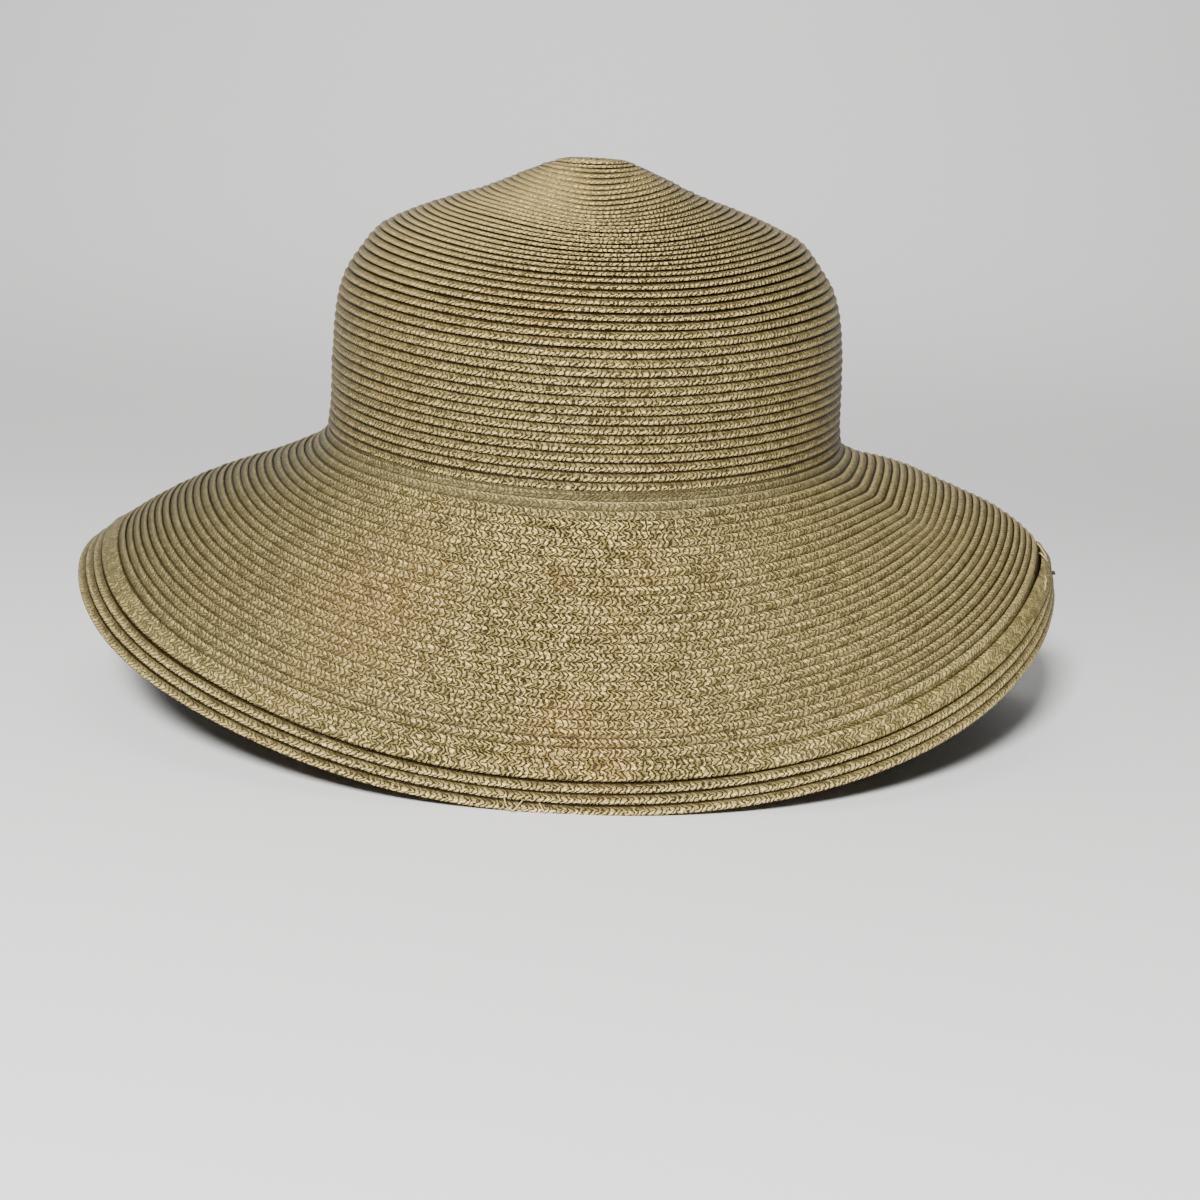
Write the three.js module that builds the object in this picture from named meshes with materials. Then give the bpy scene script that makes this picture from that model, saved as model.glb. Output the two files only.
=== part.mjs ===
import * as THREE from 'three';

// A sun hat of sewn straw braid, in millimetres: X to the right of the face, Y to the back, Z up
// the crown. It stands upright on the front and the back of its drooping rim, at z = 0.

// The crown's foot, outside the braid, is an ellipse for a head of about 57 cm.
const HALF_WIDTH = 83.8;
const HALF_DEPTH = 100;
// Two lapped layers of braid make the wall, and pieces that touch keep a small gap.
const WALL = 1.8;
const GAP = 0.3;
// From the foot to the rim, along the straw.
const BRIM_LENGTH = 94;
// How far the foot lies above the rim's lowest points before they settle flat on the floor.
const FOOT_HEIGHT = 88.4;
// The crown leans to the left on its way up.
const TIP_LEAN = 1.2;
const LEAN_POWER = 1.2;
const CROWN_HEIGHT = 90.5;
const COLLAR_HEIGHT = 5;
// Puts the middle of the whole hat, whose left side reaches out further, on the Z axis.
const SHIFT_RIGHT = 2.2;
const COLUMNS = 64;
const STRAW = '#a5946b';

// From the tip down to the foot: shares of the half width or depth, and of the crown's height.
// The front and back sag, so each row is lifted at the sides by this many millimetres.
const CROWN_ROWS = [
  { across: 0, up: 0.996, lift: 0 },
  { across: 0.07, up: 1, lift: 0 },
  { across: 0.125, up: 0.996, lift: 0.1 },
  { across: 0.19, up: 0.967, lift: 1.4 },
  { across: 0.27, up: 0.909, lift: 3.9 },
  { across: 0.4, up: 0.838, lift: 5.3 },
  { across: 0.55, up: 0.781, lift: 6.1 },
  { across: 0.7, up: 0.724, lift: 6.5 },
  { across: 0.82, up: 0.664, lift: 6.7 },
  { across: 0.9, up: 0.583, lift: 6.1 },
  { across: 0.955, up: 0.507, lift: 5.3 },
  { across: 0.985, up: 0.408, lift: 4.8 },
  { across: 1, up: 0.244, lift: 4.2 },
  { across: 1.003, up: 0.09, lift: 3.4 },
  { across: 1.01, up: 0, lift: 2.9 },
];
const FOOT_ROW = CROWN_ROWS.at(-1);

// Degrees below level along the brim, at the right, the left, and the front and back.
const BRIM_SLOPES = [
  { along: 0, right: 54, left: 76, front: 64 },
  { along: 0.045, right: 22, left: 48, front: 71 },
  { along: 0.13, right: 8, left: 24, front: 75 },
  { along: 0.32, right: 20, left: 18, front: 74 },
  { along: 0.55, right: 22, left: 26, front: 71 },
  { along: 0.81, right: 44, left: 35, front: 67 },
  { along: 1, right: 87, left: 38, front: 62 },
];
// How late the slope turns from that of each side to that of the front or back.
const TURN_POWER = { right: 1.17, left: 1.92 };
const BACK_FULLNESS = 4.4;

// Where the brim's rings lie along the slant.
const BRIM_RINGS = [0, 0.03, 0.09, 0.18, 0.28, 0.38, 0.48, 0.58, 0.67, 0.75, 0.819];
// The brim's last ring is tucked under the first row of the rim by this depth.
const TUCK_ALONG = 0.862;
const TUCK_DEPTH = 1;

// The rim's rows of braid lap each other: each begins under the row above and ends on top.
const ROW_COUNT = 4;
const ROW_THICKNESS = 1;
const ROW_WIDTH = 4.6;
const FIRST_ROW_WIDTH = 7.15;
const ROW_PITCH = 3.15;
const ROW_DEPTH = 2;
const FIRST_ROW_DEPTH = -1.3;

const UP = new THREE.Vector3(0, 0, 1);

function radians(degrees) {
  return (degrees * Math.PI) / 180;
}

// Reads one column of a table of shares, with straight lines between its rows.
function readTable(table, share, column) {
  const next = table.findIndex((row) => row.along >= share);
  if (next <= 0) {
    return table[next < 0 ? table.length - 1 : 0][column];
  }
  const low = table[next - 1];
  const high = table[next];
  const part = (share - low.along) / (high.along - low.along);
  return low[column] + (high[column] - low[column]) * part;
}

// One upright plane through the hat: where the foot's ellipse is and which way is outward.
function column(index) {
  const angle = (index / COLUMNS) * 2 * Math.PI;
  const cos = Math.cos(angle);
  const sin = Math.sin(angle);
  const foot = new THREE.Vector3(HALF_WIDTH * cos, HALF_DEPTH * sin, 0);
  const outward = new THREE.Vector3(cos / HALF_WIDTH, sin / HALF_DEPTH, 0).normalize();
  return { cos, sin, foot, outward };
}

// How high a row of the crown lies in one column, above the rim's lowest points.
function rowHeight(plane, row) {
  return FOOT_HEIGHT + row.up * CROWN_HEIGHT + row.lift * plane.cos * plane.cos;
}

// The brim's slope in radians, at a share of its slant in one column.
function brimSlope(plane, share) {
  const hand = plane.cos > 0 ? 'right' : 'left';
  const side = readTable(BRIM_SLOPES, share, hand);
  const front = readTable(BRIM_SLOPES, share, 'front');
  const fullness = plane.sin > 0 ? BACK_FULLNESS : 1;
  const sideways = Math.pow(1 - Math.pow(Math.abs(plane.sin), TURN_POWER[hand]), fullness);
  return radians(front + (side - front) * sideways);
}

// A point of the brim: this far along the slant and this deep under the upper side.
function brimPoint(plane, slant, depth) {
  const steps = Math.max(1, Math.round(Math.abs(slant)));
  const point = plane.foot.clone().multiplyScalar(FOOT_ROW.across);
  point.z = rowHeight(plane, FOOT_ROW) - GAP;
  for (let step = 0; step < steps; step += 1) {
    const slope = brimSlope(plane, ((step + 0.5) * slant) / steps / BRIM_LENGTH);
    point.addScaledVector(plane.outward, (Math.cos(slope) * slant) / steps);
    point.addScaledVector(UP, (-Math.sin(slope) * slant) / steps);
  }
  const slope = brimSlope(plane, slant / BRIM_LENGTH);
  point.addScaledVector(plane.outward, -depth * Math.sin(slope));
  point.addScaledVector(UP, -depth * Math.cos(slope));
  return point;
}

// A point of the crown's wall: at a row of its table, this deep inside the outer face.
function crownPoint(plane, index, depth) {
  const row = CROWN_ROWS[index];
  const above = CROWN_ROWS[Math.max(index - 1, 0)];
  const below = CROWN_ROWS[Math.min(index + 1, CROWN_ROWS.length - 1)];
  const point = plane.foot.clone().multiplyScalar(row.across);
  point.z = rowHeight(plane, row);
  point.x -= TIP_LEAN * Math.pow(row.up, LEAN_POWER);
  const outwards = (below.across - above.across) * plane.foot.length();
  const downwards = (above.up - below.up) * CROWN_HEIGHT;
  const length = Math.hypot(outwards, downwards);
  const inward = index === 0 ? 0 : downwards / length;
  const down = index === 0 ? 1 : outwards / length;
  point.addScaledVector(plane.outward, -depth * inward);
  point.addScaledVector(UP, -depth * down);
  return point;
}

// A point of the collar that stands inside the foot of the crown.
function collarPoint(plane, height, depth) {
  const point = plane.foot.clone();
  point.addScaledVector(plane.outward, -depth);
  point.z = rowHeight(plane, FOOT_ROW) + height;
  return point;
}

// One closed loop round the hat, made by the same rule in every column.
function loop(rule) {
  return Array.from({ length: COLUMNS }, (_, index) => rule(column(index)));
}

// Joins loops into a closed surface. A loop of one point is a pole, which the surface ends at.
function closedSurface(loops, joinsEnds) {
  const positions = loops.flat().flatMap((point) => point.toArray());
  const indices = [];
  let start = 0;
  loops.forEach((here, index) => {
    const isLast = index === loops.length - 1;
    if (isLast && !joinsEnds) {
      return;
    }
    const next = isLast ? loops[0] : loops[index + 1];
    const nextStart = isLast ? 0 : start + here.length;
    for (let turn = 0; turn < COLUMNS; turn += 1) {
      const after = (turn + 1) % COLUMNS;
      const a = start + (turn % here.length);
      const b = start + (after % here.length);
      const c = nextStart + (turn % next.length);
      const d = nextStart + (after % next.length);
      if (next.length > 1) {
        indices.push(a, c, d);
      }
      if (here.length > 1) {
        indices.push(a, next.length > 1 ? d : c, b);
      }
    }
    start += here.length;
  });
  const geometry = new THREE.BufferGeometry();
  geometry.setAttribute('position', new THREE.Float32BufferAttribute(positions, 3));
  geometry.setIndex(indices);
  geometry.translate(SHIFT_RIGHT, 0, 0);
  geometry.computeVertexNormals();
  return geometry;
}

function piece(name, geometry) {
  const material = new THREE.MeshStandardMaterial({ color: STRAW, roughness: 0.75 });
  const mesh = new THREE.Mesh(geometry, material);
  mesh.name = name;
  return mesh;
}

function crownGeometry() {
  const rows = CROWN_ROWS.map((_, index) => index).slice(1);
  const pole = column(0);
  const outside = rows.map((index) => loop((plane) => crownPoint(plane, index, 0)));
  const inside = rows.map((index) => loop((plane) => crownPoint(plane, index, WALL)));
  const tip = [crownPoint(pole, 0, 0)];
  const underTip = [crownPoint(pole, 0, WALL)];
  return closedSurface([tip, ...outside, ...inside.reverse(), underTip], false);
}

// The brim starts as a collar inside the crown's foot and passes under its edge.
function brimGeometry() {
  const collarDepth = WALL + GAP;
  const upper = BRIM_RINGS.map((share) =>
    loop((plane) => brimPoint(plane, share * BRIM_LENGTH, 0)),
  );
  const lower = BRIM_RINGS.slice(1).map((share) =>
    loop((plane) => brimPoint(plane, share * BRIM_LENGTH, WALL)),
  );
  const end = TUCK_ALONG * BRIM_LENGTH;
  return closedSurface(
    [
      loop((plane) => collarPoint(plane, COLLAR_HEIGHT, collarDepth)),
      loop((plane) => collarPoint(plane, -GAP, collarDepth)),
      ...upper,
      loop((plane) => brimPoint(plane, end, TUCK_DEPTH)),
      loop((plane) => brimPoint(plane, end, TUCK_DEPTH + WALL)),
      ...lower.reverse(),
      loop((plane) => collarPoint(plane, -GAP - WALL, collarDepth + WALL)),
      loop((plane) => collarPoint(plane, COLLAR_HEIGHT, collarDepth + WALL)),
    ],
    true,
  );
}

// Nothing of the rim reaches under the floor: its lowest parts lie flat on it.
function settle(point) {
  point.z = Math.max(point.z, 0);
  return point;
}

function rowGeometry(index) {
  const firstEnd = BRIM_LENGTH - (ROW_COUNT - 1) * ROW_PITCH;
  const end = firstEnd + index * ROW_PITCH;
  const start = end - (index === 0 ? FIRST_ROW_WIDTH : ROW_WIDTH);
  const startDepth = index === 0 ? FIRST_ROW_DEPTH : ROW_DEPTH;
  const middle = (start + end) / 2;
  const middleDepth = startDepth / 2;
  return closedSurface(
    [
      loop((plane) => settle(brimPoint(plane, start, startDepth))),
      loop((plane) => settle(brimPoint(plane, middle, middleDepth))),
      loop((plane) => settle(brimPoint(plane, end, 0))),
      loop((plane) => settle(brimPoint(plane, end, ROW_THICKNESS))),
      loop((plane) => settle(brimPoint(plane, middle, middleDepth + ROW_THICKNESS))),
      loop((plane) => settle(brimPoint(plane, start, startDepth + ROW_THICKNESS))),
    ],
    true,
  );
}

const hat = new THREE.Group();
hat.add(piece('crown', crownGeometry()));
hat.add(piece('brim', brimGeometry()));
for (let index = 0; index < ROW_COUNT; index += 1) {
  hat.add(piece(`rim_braid_${index + 1}`, rowGeometry(index)));
}

export default hat;
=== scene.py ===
# %% [markdown]
# # A raffia sun hat, sewn from one long braid
#
# The hat has a round crown with a raised tip and a wide brim that droops at the front and back. A
# hat like this is one flat plaited braid, sewn round and round on itself like a snail's shell, so it
# could be a smooth shell with a striped texture, or a real braid laid along a spiral. The braid is
# laid here, because each course then throws its own small shadow on the next.

import math

import bpy
import numpy as np
from mathutils import Matrix, Vector, noise


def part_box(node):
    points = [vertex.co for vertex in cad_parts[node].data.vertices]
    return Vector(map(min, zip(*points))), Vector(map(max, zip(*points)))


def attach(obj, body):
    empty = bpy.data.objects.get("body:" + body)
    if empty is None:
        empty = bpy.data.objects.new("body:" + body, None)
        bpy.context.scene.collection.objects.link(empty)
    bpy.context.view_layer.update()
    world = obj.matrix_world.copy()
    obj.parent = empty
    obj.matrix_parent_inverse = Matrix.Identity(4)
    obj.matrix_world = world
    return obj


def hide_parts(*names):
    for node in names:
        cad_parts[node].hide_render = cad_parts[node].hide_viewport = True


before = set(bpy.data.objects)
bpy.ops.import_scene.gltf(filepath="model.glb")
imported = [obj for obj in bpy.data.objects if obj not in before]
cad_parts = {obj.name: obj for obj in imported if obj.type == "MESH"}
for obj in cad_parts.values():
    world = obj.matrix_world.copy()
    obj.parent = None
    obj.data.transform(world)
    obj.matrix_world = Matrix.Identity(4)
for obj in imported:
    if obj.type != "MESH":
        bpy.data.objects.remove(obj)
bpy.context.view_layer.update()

# %% [markdown]
# ## The hat's form in numbers
#
# Before any straw is laid, the script needs to know where the straw goes. The crown is a stack of
# ellipses, from the tip to the foot, and the brim is a line that leaves the foot and slopes down. Both
# are kept as short tables of shares, and the sizes come from the solid hat.

# %% Sizes of the crown and brim
FOOT_SHARE = 1.01
crown_low, crown_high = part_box("crown")
HALF_WIDTH = (crown_high.x - crown_low.x) / 2 / FOOT_SHARE
HALF_DEPTH = (crown_high.y - crown_low.y) / 2 / FOOT_SHARE
MIDDLE_X = (crown_high.x + crown_low.x) / 2
FOOT_HEIGHT = crown_low.z
CROWN_HEIGHT = crown_high.z - crown_low.z
TIP_LEAN = 0.0012
LEAN_POWER = 1.2
BRIM_LENGTH = 0.094

CROWN_ROWS = [
    {"across": 0, "up": 0.996, "lift": 0},
    {"across": 0.07, "up": 1, "lift": 0},
    {"across": 0.125, "up": 0.996, "lift": 0.0001},
    {"across": 0.19, "up": 0.967, "lift": 0.0014},
    {"across": 0.27, "up": 0.909, "lift": 0.0039},
    {"across": 0.4, "up": 0.838, "lift": 0.0053},
    {"across": 0.55, "up": 0.781, "lift": 0.0061},
    {"across": 0.7, "up": 0.724, "lift": 0.0065},
    {"across": 0.82, "up": 0.664, "lift": 0.0067},
    {"across": 0.9, "up": 0.583, "lift": 0.0061},
    {"across": 0.955, "up": 0.507, "lift": 0.0053},
    {"across": 0.985, "up": 0.408, "lift": 0.0048},
    {"across": 1, "up": 0.244, "lift": 0.0042},
    {"across": 1.003, "up": 0.09, "lift": 0.0034},
    {"across": 1.01, "up": 0, "lift": 0.0029},
]
BRIM_SLOPES = [
    {"along": 0, "right": 54, "left": 76, "front": 64},
    {"along": 0.045, "right": 22, "left": 48, "front": 71},
    {"along": 0.13, "right": 8, "left": 24, "front": 75},
    {"along": 0.32, "right": 20, "left": 18, "front": 74},
    {"along": 0.55, "right": 22, "left": 26, "front": 71},
    {"along": 0.81, "right": 44, "left": 35, "front": 67},
    {"along": 1, "right": 87, "left": 38, "front": 62},
]
TURN_POWER = {"right": 1.17, "left": 1.92}
BACK_FULLNESS = 4.4
# The brim's highest lines, at its two sides, are rounded over a little.
SIDE_ROUND = 0.03
print("crown", round(CROWN_HEIGHT * 1000), "mm high, opening", round(HALF_WIDTH * 2000), "mm wide")

# %% A smooth line through the crown's rows
ROUNDING_STEPS = 12


def smooth_through(points, steps):
    """A curve through the points that also bends gently between them."""
    line = []
    for index in range(len(points) - 1):
        a = points[max(index - 1, 0)]
        b, c = points[index], points[index + 1]
        d = points[min(index + 2, len(points) - 1)]
        for step in range(steps):
            t = step / steps
            bend = (2 * b) + (c - a) * t + (2 * a - 5 * b + 4 * c - d) * t**2
            line.append((bend + (3 * b - a - 3 * c + d) * t**3) / 2)
    line.append(points[-1])
    return np.array(line)


rows = [np.array((row["across"], row["up"], row["lift"])) for row in CROWN_ROWS]
crown_line = smooth_through(rows, ROUNDING_STEPS)
mean_radius = (HALF_WIDTH + HALF_DEPTH) / 2
steps_along = np.hypot(np.diff(crown_line[:, 0]) * mean_radius, np.diff(crown_line[:, 1]) * CROWN_HEIGHT)
crown_along = np.concatenate([[0], np.cumsum(steps_along)])
CROWN_LENGTH = crown_along[-1]
print("from tip to foot the straw runs", round(CROWN_LENGTH * 1000), "mm")

# %% [markdown]
# ## Any place on the straw
#
# A place is given by a turn round the hat and a distance along the straw, first down the crown and
# then out along the brim. Two small functions answer with the point in space, the way out of the
# surface and the slope there. Soft dents, which a worn hat always has, are pressed in here too.

# %% Places on the crown and brim
SOFT_DENTS = [
    {"part": "crown", "turn": 235, "along": 0.05, "deep": -0.0014, "round": 26, "wide": 0.018},
    {"part": "crown", "turn": 268, "along": 0.034, "deep": 0.0005, "round": 20, "wide": 0.012},
    {"part": "crown", "turn": 300, "along": 0.1, "deep": 0.001, "round": 18, "wide": 0.02},
    {"part": "brim", "turn": 354, "along": 0.018, "deep": -0.0012, "round": 9, "wide": 0.018},
    {"part": "brim", "turn": 232, "along": 0.045, "deep": -0.0015, "round": 15, "wide": 0.022},
]
# The fold at the right starts at the crown's foot and runs out and forward.
FOLD = [
    {"along": 0.004, "turn": 336.3, "reach": 0},
    {"along": 0.01, "turn": 338, "reach": 0.0011},
    {"along": 0.016, "turn": 339, "reach": 0.0021},
    {"along": 0.0235, "turn": 340, "reach": 0.0029},
    {"along": 0.031, "turn": 341, "reach": 0.0029},
    {"along": 0.04, "turn": 342, "reach": 0.0014},
    {"along": 0.052, "turn": 343, "reach": 0},
]
FOLD_ROUND = 7
FOLD_BLUNT = 1.3
# The left front of the brim has been pulled out longer than the rest.
LONGER = {"turn": 207, "round": 17, "by": 0.036}
BRIM_STEP = 0.001
SLOPE_STEP = 0.001
DIAGONAL = math.sqrt(0.5)


def degrees_past(angle, turn):
    """How many degrees this direction is past a turn, counted the short way."""
    return (math.degrees(angle) - turn + 180) % 360 - 180


def dent_depth(part, angle, along):
    """How far the soft dents press the straw in at this place."""
    depth = 0
    for dent in SOFT_DENTS:
        if dent["part"] == part:
            past = degrees_past(angle, dent["turn"])
            reach = (past / dent["round"]) ** 2 + ((along - dent["along"]) / dent["wide"]) ** 2
            depth += dent["deep"] * math.exp(-reach)
    return depth


def fold_reach(angle, along):
    """How far the fold at the right sticks out and down here."""
    alongs = [place["along"] for place in FOLD]
    fold_turn = np.interp(along, alongs, [place["turn"] for place in FOLD])
    apart = math.hypot(degrees_past(angle, fold_turn), FOLD_BLUNT) - FOLD_BLUNT
    reach = float(np.interp(along, alongs, [place["reach"] for place in FOLD]))
    return reach * math.exp(-apart / FOLD_ROUND)


def longer(angle, along):
    """The distance along the brim, stretched where the brim has been pulled out."""
    past = degrees_past(angle, LONGER["turn"])
    return along * (1 + LONGER["by"] * math.exp(-((past / LONGER["round"]) ** 2)))


def upright_plane(angle):
    """The foot's point in this direction and the way outward."""
    cos, sin = math.cos(angle), math.sin(angle)
    foot = Vector((HALF_WIDTH * cos, HALF_DEPTH * sin, 0))
    outward = Vector((cos / HALF_WIDTH, sin / HALF_DEPTH, 0)).normalized()
    return cos, sin, foot, outward


def pressed(point, outward, slope, depth):
    """The point moved this deep into the straw."""
    return point - outward * (depth * math.sin(slope)) - Vector((0, 0, depth * math.cos(slope)))


def on_crown(angle, along, depth=0):
    """The point and the slope at a distance down the crown."""
    cos, sin, foot, outward = upright_plane(angle)
    across, up, lift = (float(np.interp(along, crown_along, column)) for column in crown_line.T)
    around = [along - SLOPE_STEP, along + SLOPE_STEP]
    inner, outer = np.interp(around, crown_along, crown_line[:, 0])
    above, below = np.interp(around, crown_along, crown_line[:, 1])
    point = foot * across
    point.z = FOOT_HEIGHT + up * CROWN_HEIGHT + lift * cos * cos
    point.x += MIDDLE_X - TIP_LEAN * up**LEAN_POWER
    slope = math.atan2((above - below) * CROWN_HEIGHT, (outer - inner) * foot.length)
    return pressed(point, outward, slope, depth + dent_depth("crown", angle, along)), slope


def on_brim(angle, along, depth=0):
    """The point and the slope at a distance out along the brim."""
    cos, sin, foot, outward = upright_plane(angle)
    hand = "right" if cos > 0 else "left"
    along = longer(angle, along)
    count = max(2, round(abs(along) / BRIM_STEP) + 1)
    places = np.linspace(0, along, count)
    shares = [row["along"] for row in BRIM_SLOPES]
    side = np.interp(places / BRIM_LENGTH, shares, [row[hand] for row in BRIM_SLOPES])
    front = np.interp(places / BRIM_LENGTH, shares, [row["front"] for row in BRIM_SLOPES])
    swing = (math.hypot(sin, SIDE_ROUND) - SIDE_ROUND) / (math.hypot(1, SIDE_ROUND) - SIDE_ROUND)
    sideways = (1 - swing ** TURN_POWER[hand]) ** (BACK_FULLNESS if sin > 0 else 1)
    slopes = np.radians(front + (side - front) * sideways)
    middles = (slopes[1:] + slopes[:-1]) / 2
    stride = along / (count - 1)
    point = foot * FOOT_SHARE + outward * float(np.cos(middles).sum() * stride)
    point.z = FOOT_HEIGHT + CROWN_ROWS[-1]["lift"] * cos * cos - float(np.sin(middles).sum() * stride)
    point.x += MIDDLE_X
    point += (outward - Vector((0, 0, 1))) * (fold_reach(angle, along) * DIAGONAL)
    slope = float(slopes[-1])
    return pressed(point, outward, slope, depth + dent_depth("brim", angle, along)), slope


rim_front = on_brim(math.radians(270), BRIM_LENGTH)[0]
print("the rim's front lies at", [round(x, 4) for x in rim_front])

# %% [markdown]
# ## The braid's cross-section
#
# The plait is about five and a half millimetres wide and not quite one thick, with a shallow groove
# down its middle. A ring of eight points is enough: a circle is squeezed flat and made a curve, and
# it will be carried along the spiral as the bevel of a path.

# %% Make the cross-section
BRAID_WIDTH = 0.0054
BRAID_THICKNESS = 0.00092
GROOVE_FULLNESS = 0.8
FLANK_FULLNESS = 1.4
FLANK_SPREAD = 1.1
FLANK = (0.1, 0.9)
EDGE_POINTS = 8


def pick_none():
    """Nothing stays selected, so that the next operator acts on its own piece alone."""
    bpy.ops.object.select_all(action="DESELECT")


def make_profile():
    """A flat lens with a groove above and below, as a closed curve."""
    pick_none()
    bpy.ops.mesh.primitive_circle_add(vertices=EDGE_POINTS, radius=BRAID_WIDTH / 2)
    ring = bpy.context.object
    ring.name = "braid_profile"
    flat = BRAID_THICKNESS / BRAID_WIDTH
    for vertex in ring.data.vertices:
        share = vertex.co.x / (BRAID_WIDTH / 2)
        vertex.co.y *= flat * (GROOVE_FULLNESS if abs(share) < FLANK[0] else FLANK_FULLNESS)
        vertex.co.x *= FLANK_SPREAD if FLANK[0] < abs(share) < FLANK[1] else 1
    bpy.ops.object.convert(target="CURVE")
    return bpy.context.object


profile = make_profile()
print("cross-section of", len(profile.data.splines[0].points), "points")

# %% [markdown]
# ## Laying the braid
#
# Each course overlaps the one before it like a roof tile, so the braid is tipped a little against the
# slope of the hat. The path goes through a point every two millimetres and carries a tilt and a size
# at each. When the path becomes a mesh, seven numbers stay on every point: how far along the braid it
# is, where it lies across it, how far it is from the edge of the course on top of it, how strongly
# shade and highlight are painted at the seam there, how calm the plait looks, how much painted shade
# it gets and how strong the painted highlight on its edge is. The straw's pattern, with its painted
# light and shade, follows these seven.

# %% Lay a braid along a path
LONGEST_STEP = 0.0022
SHORTEST_STEP = 0.00025
LAP_ANGLE = math.radians(18.5)
WOBBLE = 0.00016
WOBBLE_RATE = 18
TIGHT_STEP = 0.25
SMALLEST_RADIUS = 0.001


def wobble(travelled, seed):
    """A slow, small unevenness that repeats nowhere along the braid."""
    return noise.noise(Vector((travelled * WOBBLE_RATE, seed, 0.5))) * WOBBLE


def stride(point):
    """The next step, shorter where the turns are tight, and the radius of the turn."""
    radius = max(math.hypot(point.x - MIDDLE_X, point.y), SMALLEST_RADIUS)
    return min(LONGEST_STEP, max(SHORTEST_STEP, radius * TIGHT_STEP)), radius


def lay_braid(name, stations, pitch, top_edge=1):
    """A braid through the stations, each a point, a tilt, a size and five numbers of the look."""
    pick_none()
    bpy.ops.curve.primitive_nurbs_path_add()
    braid = bpy.context.object
    braid.name = name
    path = braid.data
    path.splines.clear()
    spline = path.splines.new("POLY")
    spline.points.add(len(stations) - 1)
    places = [(*station[0], 1.0) for station in stations]
    spline.points.foreach_set("co", [value for place in places for value in place])
    spline.points.foreach_set("tilt", [station[1] for station in stations])
    spline.points.foreach_set("radius", [station[2] for station in stations])
    path.twist_mode = "Z_UP"
    path.bevel_mode = "OBJECT"
    path.bevel_object = profile
    path.use_fill_caps = False
    bpy.ops.object.convert(target="MESH")
    braid = bpy.context.object
    braid.data.name = name
    number_the_braid(braid, stations, pitch, top_edge)
    close_the_ends(braid)
    return braid


def close_the_ends(braid):
    """The two cut ends get a face each, and every face points outwards."""
    bpy.ops.object.mode_set(mode="EDIT")
    bpy.ops.mesh.select_all(action="SELECT")
    bpy.ops.mesh.fill_holes(sides=EDGE_POINTS)
    bpy.ops.mesh.select_all(action="SELECT")
    bpy.ops.mesh.normals_make_consistent(inside=False)
    bpy.ops.object.mode_set(mode="OBJECT")


def number_the_braid(braid, stations, pitch, top_edge):
    """Keeps seven numbers on every point. Across counts towards the edge that lies on top."""
    points = np.array([tuple(station[0]) for station in stations])
    travelled = np.concatenate([[0], np.cumsum(np.linalg.norm(np.diff(points, axis=0), axis=1))])
    across = np.array([point.co.x for point in profile.data.splines[0].points]) * top_edge
    ring = len(across)
    bared = np.repeat([station[7] for station in stations], ring)
    values = {
        "along": np.repeat(travelled, ring),
        "across": np.tile(across, len(stations)),
        "below_seam": np.tile(across - (BRAID_WIDTH / 2 - pitch), len(stations)) + bared,
    }
    for index, label in enumerate(("seam_shading", "calm", "dusk", "ridge")):
        values[label] = np.repeat([station[3 + index] for station in stations], ring)
    for label, numbers in values.items():
        attribute = braid.data.attributes.new(label, "FLOAT", "POINT")
        attribute.data.foreach_set("value", numbers.astype(np.float32))
    length = round(float(travelled[-1]), 2)
    print(braid.name, "is", length, "m of braid in", len(braid.data.polygons), "faces")


# %% [markdown]
# ## The crown
#
# The crown is one spiral from the tip to the foot. Each turn starts where the last one ended, two and
# three quarter millimetres further down, and its lower edge lies over the next one's upper edge. The
# first turns are tight, so there the braid is narrower and lies flat, which closes the middle.

# %% Sew the crown
PITCH = 0.00275
CROWN_DEPTH = 0.0009
SPIRAL_START = math.radians(90)
TIP_START = 0.0008
TIP_TIGHTENS = 0.009
CROWN_END = CROWN_LENGTH - 0.0012
CROWN_TURNS = round((CROWN_END - TIP_START) / PITCH)
CROWN_PITCH = (CROWN_END - TIP_START) / CROWN_TURNS
TIP_SIZE = 0.7
LAST_LAP = 0.45
CROWN_CALM = 0.5
# The crown's sides get painted shade, more on the left.
CROWN_DUSK = {"most": 0.4, "more_left": 1.3}
# Where the painted seam shade and edge highlight are fainter on the crown, and where the painted seam
# shade is deeper under the tip.
FAINTER_SEAM_SHADE = {"turn": 243, "along": 0.03, "round": 26, "wide": 0.018, "by": -0.75}
DEEPER_SEAM_SHADE = {"turn": 272, "along": 0.0125, "round": 30, "wide": 0.002, "by": 0.6}


def near(place, angle, along):
    """One at a place on the hat, fading to zero around it."""
    past = degrees_past(angle, place["turn"])
    return math.exp(-((past / place["round"]) ** 2) - ((along - place["along"]) / place["wide"]) ** 2)


def clamp(share):
    """The share, kept between zero and one."""
    return min(1, max(0, share))


def on_sides(angle, most, more_left=1):
    """This much at the sides of the hat and nothing at the front and back."""
    return most * math.cos(angle) ** 2 * (more_left if math.cos(angle) < 0 else 1)


def settling(along):
    """One on most of the crown, falling over its last two turns, which lie flatter."""
    return LAST_LAP + (1 - LAST_LAP) * clamp((CROWN_END - along) / (2 * CROWN_PITCH))


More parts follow.
